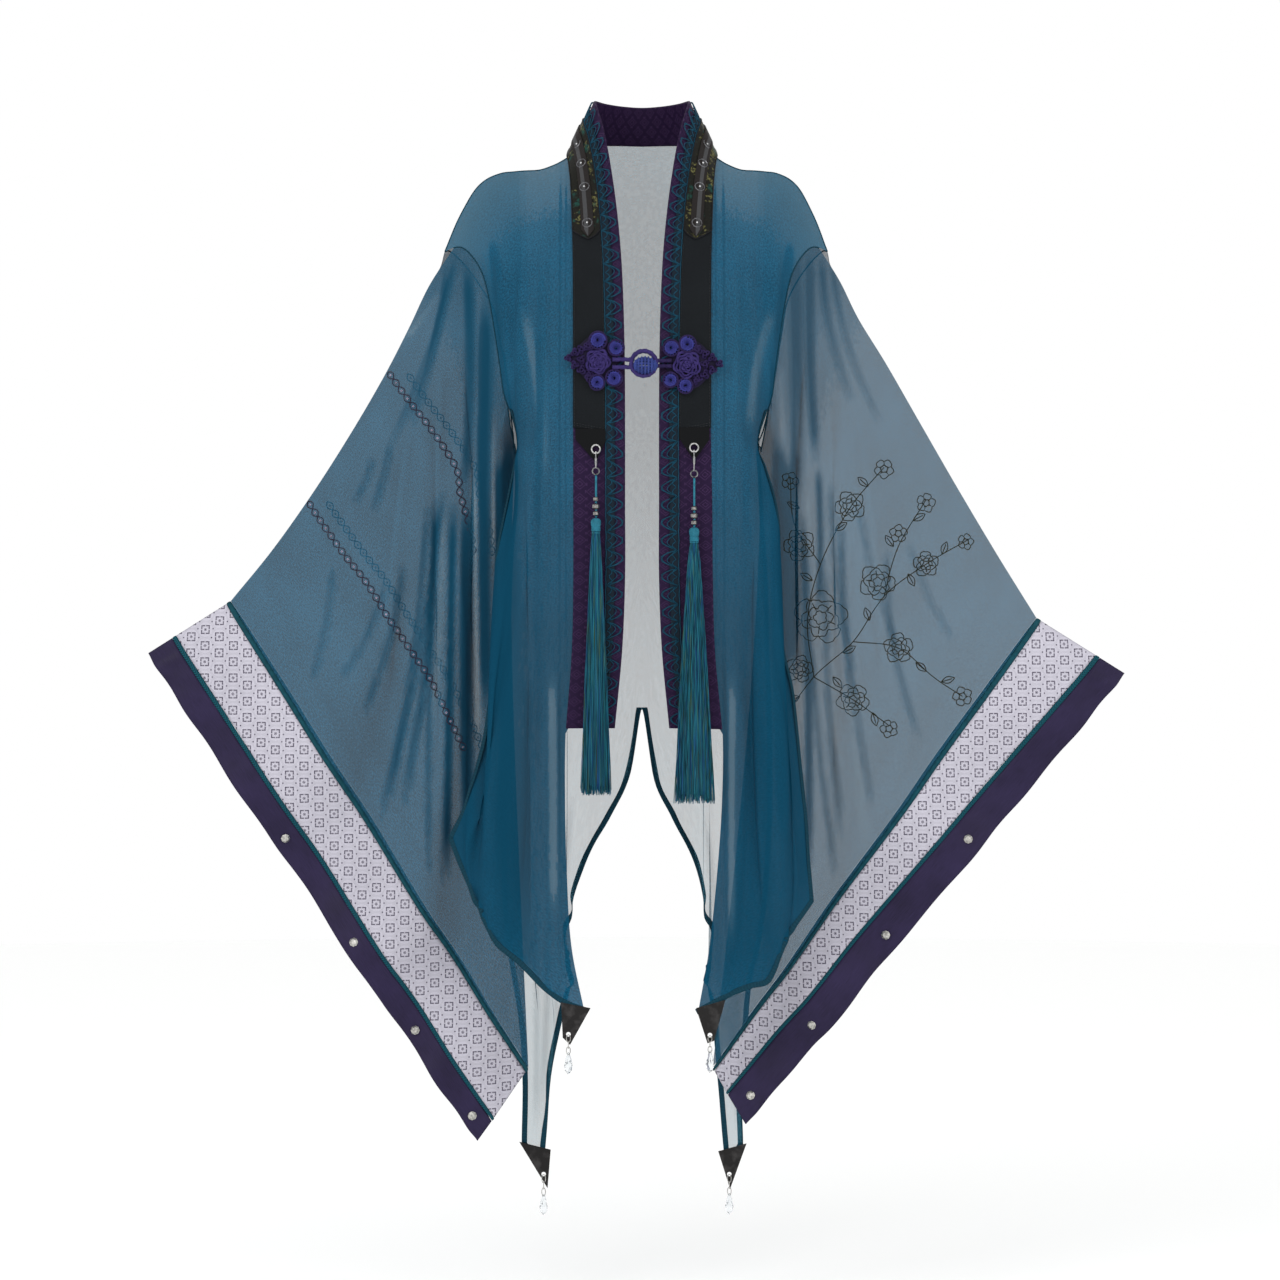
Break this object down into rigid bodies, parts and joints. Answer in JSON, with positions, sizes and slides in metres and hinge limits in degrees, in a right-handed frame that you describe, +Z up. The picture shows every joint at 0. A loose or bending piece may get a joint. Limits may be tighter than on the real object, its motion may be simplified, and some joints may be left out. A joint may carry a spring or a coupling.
{
  "type": "haori",
  "caption": "Sheer teal robe with wide hanging sleeves, deep brocade cuffs, a long trimmed collar with a corded frog and silk tassels, held open as worn.",
  "frame": {"origin": "between the shoulders, where the wearer holds the garment, at the neck's middle", "axes": "+Z up, -Y towards the front of the garment, +X towards the right of the front view"},
  "size_m": [1.2164, 0.2429, 1.4073],
  "materials": {
    "chiffon": "sheer teal crepe chiffon, matte",
    "piping": "dark teal piping",
    "brocade": "grey lilac brocade with small dark squares",
    "braid": "deep teal flat braid",
    "satin": "near black purple satin",
    "damask": "dark purple damask",
    "twill": "black twill",
    "lace": "teal lace on dark cloth",
    "gold_brocade": "dark brocade with gold and green",
    "tape": "grey ribbed tape",
    "cord": "dark blue and purple satin cord",
    "tassel": "teal silk strands",
    "steel": "polished, slightly worn",
    "bead": "aged dark beads",
    "leather": "black leather",
    "crystal": "clear faceted drop"
  },
  "bodies": {
    "root": {"back": "chiffon", "collar_base": "damask", "collar_eyelet_left": "steel", "collar_eyelet_right": "steel", "collar_lace": "lace", "collar_ring_1": "steel", "collar_ring_2": "steel", "collar_ring_3": "steel", "collar_ring_4": "steel", "collar_ring_5": "steel", "collar_ring_6": "steel", "collar_ring_7": "steel", "collar_ring_8": "steel", "collar_strap": "twill", "cuff_band_left": "satin", "cuff_band_right": "satin", "cuff_braid_left": "braid", "cuff_braid_right": "braid", "cuff_brocade_left": "brocade", "cuff_brocade_right": "brocade", "cuff_piping_left": "piping", "cuff_piping_right": "piping", "cuff_stud_left_1": "steel", "cuff_stud_left_2": "steel", "cuff_stud_left_3": "steel", "cuff_stud_left_4": "steel", "cuff_stud_left_5": "steel", "cuff_stud_right_1": "steel", "cuff_stud_right_2": "steel", "cuff_stud_right_3": "steel", "cuff_stud_right_4": "steel", "cuff_stud_right_5": "steel", "cuff_stud_right_6": "steel", "frog_button": "cord", "frog_left": "cord", "frog_loop": "cord", "frog_right": "cord", "front_left": "chiffon", "front_right": "chiffon", "hem_tab_back_left": "leather", "hem_tab_back_right": "leather", "hem_tab_front_left": "leather", "hem_tab_front_right": "leather", "neck_brocade": "gold_brocade", "neck_tape": "tape", "point_tab_left": "twill", "point_tab_right": "twill", "sleeve_left": "chiffon", "sleeve_right": "chiffon"},
    "tassel_left": {"tassel_clasp_left": "steel", "tassel_beads_left": "bead", "tassel_skirt_left": "tassel"},
    "tassel_right": {"tassel_clasp_right": "steel", "tassel_beads_right": "bead", "tassel_skirt_right": "tassel"},
    "drop_front_left": {"charm_front_left": "crystal"},
    "drop_front_right": {"charm_front_right": "crystal"},
    "drop_back_left": {"charm_back_left": "crystal"},
    "drop_back_right": {"charm_back_right": "crystal"}
  },
  "joints": [
    {"name": "tassel_left_swing", "type": "hinge", "parent": "root", "child": "tassel_left", "pos_m": [-0.05624, -0.12272, -0.36386], "axis": [0, 1, 0], "range_deg": [-4, 25]},
    {"name": "tassel_right_swing", "type": "hinge", "parent": "root", "child": "tassel_right", "pos_m": [0.06333, -0.12247, -0.36217], "axis": [0, 1, 0], "range_deg": [-25, 4]},
    {"name": "drop_front_left_swing", "type": "hinge", "parent": "root", "child": "drop_front_left", "pos_m": [-0.09, -0.1057, -1.0779], "axis": [0, 1, 0], "range_deg": [-40, 40]},
    {"name": "drop_front_right_swing", "type": "hinge", "parent": "root", "child": "drop_front_right", "pos_m": [0.083, -0.1057, -1.0789], "axis": [0, 1, 0], "range_deg": [-40, 40]},
    {"name": "drop_back_left_swing", "type": "hinge", "parent": "root", "child": "drop_back_left", "pos_m": [-0.125, 0.0823, -1.2749], "axis": [0, 1, 0], "range_deg": [-40, 40]},
    {"name": "drop_back_right_swing", "type": "hinge", "parent": "root", "child": "drop_back_right", "pos_m": [0.111, 0.0823, -1.2749], "axis": [0, 1, 0], "range_deg": [-40, 40]}
  ]
}
